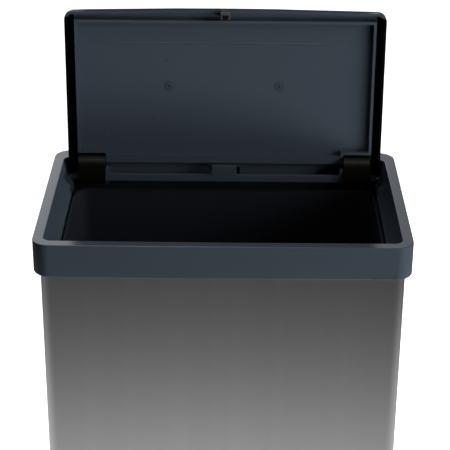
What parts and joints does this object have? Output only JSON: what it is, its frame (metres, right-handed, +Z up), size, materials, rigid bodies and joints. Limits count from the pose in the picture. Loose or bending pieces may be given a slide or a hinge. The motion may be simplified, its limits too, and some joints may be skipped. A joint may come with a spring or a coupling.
{
  "type": "kitchen bin",
  "caption": "Rectangular kitchen bin: steel body, plastic collar, touch-open hinged lid with spring, damper and push latch, and a lift-out inner bucket; the lid stands open.",
  "frame": {"origin": "middle of the flat underside of the base, on the floor", "axes": "+Z up, the front of the bin towards -Y, the hinge at the back towards +Y, +X to the right as seen from the front"},
  "size_m": [0.4, 0.2575, 0.8408],
  "materials": {
    "base_tray": "matt black moulded plastic",
    "anti_slip_pad_1": "matt black rubber",
    "anti_slip_pad_2": "matt black rubber",
    "anti_slip_pad_3": "matt black rubber",
    "anti_slip_pad_4": "matt black rubber",
    "base_rivet_1": "plain bright steel",
    "base_rivet_2": "plain bright steel",
    "base_rivet_3": "plain bright steel",
    "base_rivet_4": "plain bright steel",
    "body_shell": "vertically brushed stainless steel",
    "collar": "satin slate grey moulded plastic",
    "hinge_pin_left": "plain bright steel",
    "hinge_pin_right": "plain bright steel",
    "opening_spring": "spring steel",
    "latch_housing": "matt black moulded plastic",
    "latch_screw_left": "plain bright steel",
    "latch_screw_right": "plain bright steel",
    "latch_spring": "spring steel",
    "lid": "satin slate grey moulded plastic",
    "hinge_arm_left": "dark brown black moulded plastic",
    "hinge_arm_right": "dark brown black moulded plastic",
    "hinge_bush_left": "white bearing plastic",
    "hinge_bush_right": "white bearing plastic",
    "damper_body": "matt black moulded plastic",
    "striker": "plain bright steel",
    "latch_slider": "white bearing plastic",
    "latch_hook_pin": "plain bright steel",
    "latch_hook": "plain bright steel",
    "inner_bucket": "matt black moulded plastic"
  },
  "bodies": {
    "bin": {"base_tray": "base_tray", "anti_slip_pad_1": "anti_slip_pad_1", "anti_slip_pad_2": "anti_slip_pad_2", "anti_slip_pad_3": "anti_slip_pad_3", "anti_slip_pad_4": "anti_slip_pad_4", "base_rivet_1": "base_rivet_1", "base_rivet_2": "base_rivet_2", "base_rivet_3": "base_rivet_3", "base_rivet_4": "base_rivet_4", "body_shell": "body_shell", "collar": "collar", "hinge_pin_left": "hinge_pin_left", "hinge_pin_right": "hinge_pin_right", "opening_spring": "opening_spring", "latch_housing": "latch_housing", "latch_screw_left": "latch_screw_left", "latch_screw_right": "latch_screw_right", "latch_spring": "latch_spring"},
    "lid": {"lid": "lid", "hinge_arm_left": "hinge_arm_left", "hinge_arm_right": "hinge_arm_right", "hinge_bush_left": "hinge_bush_left", "hinge_bush_right": "hinge_bush_right", "damper_body": "damper_body", "striker": "striker"},
    "latch_carriage": {"latch_slider": "latch_slider", "latch_hook_pin": "latch_hook_pin"},
    "latch_hook": {"latch_hook": "latch_hook"},
    "bucket": {"inner_bucket": "inner_bucket"}
  },
  "joints": [
    {"name": "lid_hinge", "type": "hinge", "parent": "bin", "child": "lid", "pos_m": [0, 0.0863, 0.642], "axis": [1, 0, 0], "range_deg": [0, 93.67], "stiffness_Nm_per_rad": 0.25, "springref_deg": -11.46},
    {"name": "latch_slide", "type": "slide", "parent": "bin", "child": "latch_carriage", "axis": [0, 0, -1], "range_m": [0, 0.003], "stiffness_N_per_m": 200, "springref_m": -0.001, "deforming": ["latch_spring"]},
    {"name": "latch_hook_turn", "type": "hinge", "parent": "latch_carriage", "child": "latch_hook", "pos_m": [0, -0.1138, 0.636], "axis": [-1, 0, 0], "range_deg": [0, 14]},
    {"name": "bucket_lift", "type": "slide", "parent": "bin", "child": "bucket", "axis": [0, 0, 1], "range_m": [0, 0.68]}
  ],
  "couplings": [
    {"joint": "latch_hook_turn", "follows": "latch_slide", "rad_per_m": 81.44}
  ]
}
